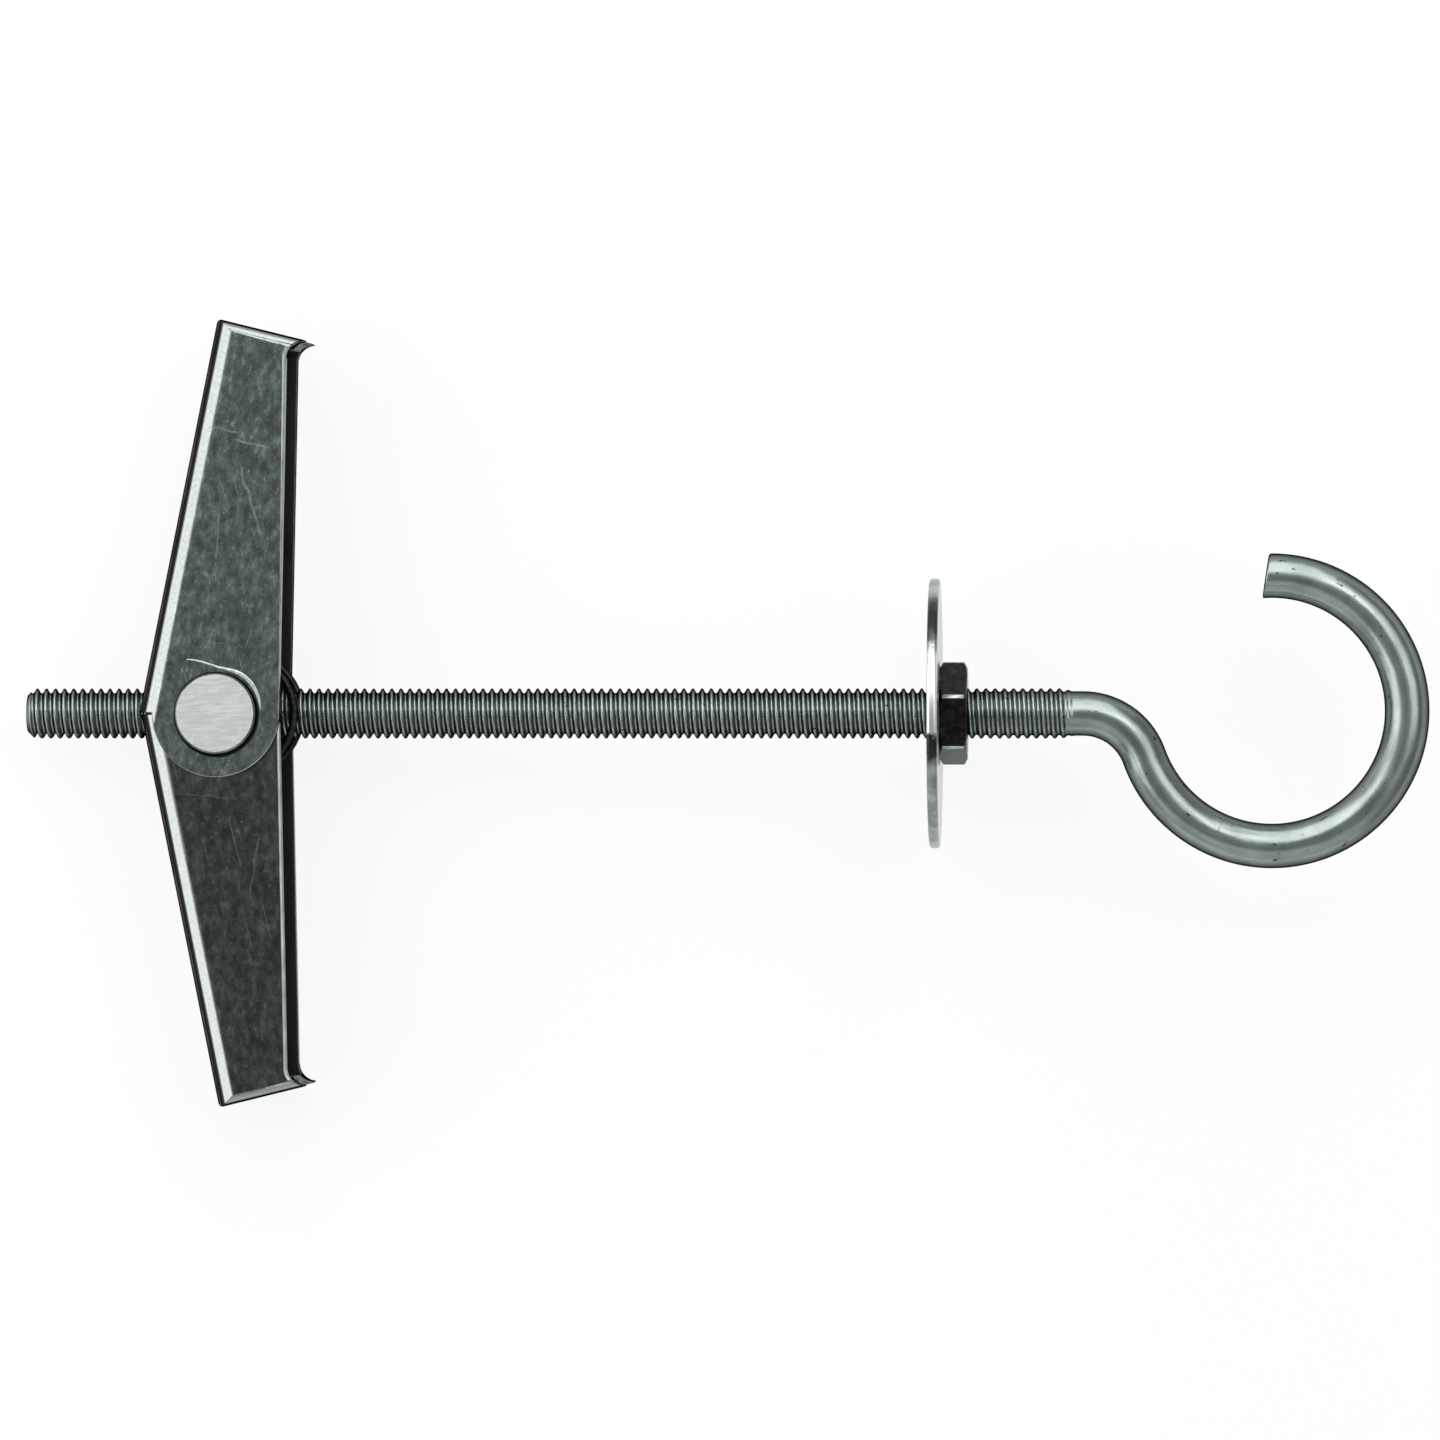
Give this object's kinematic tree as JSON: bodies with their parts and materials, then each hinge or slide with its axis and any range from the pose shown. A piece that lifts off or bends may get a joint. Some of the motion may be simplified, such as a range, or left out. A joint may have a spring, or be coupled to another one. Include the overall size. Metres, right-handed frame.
{
  "type": "spring toggle bolt",
  "caption": "Hook bolt for hollow walls: threaded rod bent into an open hook, sprung folding wings on a pin, flat washer and thin hex nut.",
  "frame": {"origin": "centre of the washer's wall face, on the rod's axis", "axes": "+X along the rod towards the hook, +Y along the right wing when open, +Z across the wings' width and away from the surface that the bolt lies on"},
  "size_m": [0.1072, 0.06, 0.0206],
  "materials": {
    "rod_zinc": "zinc plated, rolled thread",
    "trunnion_steel": "turned and zinc plated",
    "wing_zinc": "pressed sheet, zinc plated",
    "spring_wire": "drawn spring wire",
    "washer_zinc": "stamped and zinc plated",
    "nut_steel": "cold formed and zinc plated"
  },
  "bodies": {
    "hook_rod": {"hook_rod": "rod_zinc"},
    "toggle": {"trunnion_nut": "trunnion_steel", "wing_spring": "spring_wire"},
    "right_wing": {"right_wing": "wing_zinc"},
    "left_wing": {"left_wing": "wing_zinc"},
    "washer": {"washer": "washer_zinc"},
    "nut": {"hex_nut": "nut_steel"}
  },
  "joints": [
    {"name": "toggle_travel", "type": "slide", "parent": "hook_rod", "child": "toggle", "axis": [1, 0, 0], "range_m": [-0.0115, 0.014]},
    {"name": "right_wing_fold", "type": "hinge", "parent": "toggle", "child": "right_wing", "pos_m": [-0.0542, 0, 0], "axis": [0, 0, -1], "range_deg": [0, 76], "stiffness_Nm_per_rad": 0.02, "springref_deg": -34.38, "deforming": ["wing_spring"]},
    {"name": "left_wing_fold", "type": "hinge", "parent": "toggle", "child": "left_wing", "pos_m": [-0.0542, 0, 0], "axis": [0, 0, 1], "range_deg": [0, 76], "stiffness_Nm_per_rad": 0.02, "springref_deg": -34.38, "deforming": ["wing_spring"]},
    {"name": "washer_travel", "type": "slide", "parent": "hook_rod", "child": "washer", "axis": [1, 0, 0], "range_m": [-0.0081, 0.0075]},
    {"name": "nut_spin", "type": "hinge", "parent": "washer", "child": "nut", "pos_m": [0.00185, 0, 0], "axis": [1, 0, 0], "range_deg": [-4170, 3860]}
  ],
  "couplings": [
    {"joint": "nut_spin", "follows": "washer_travel", "rad_per_m": 8976}
  ]
}
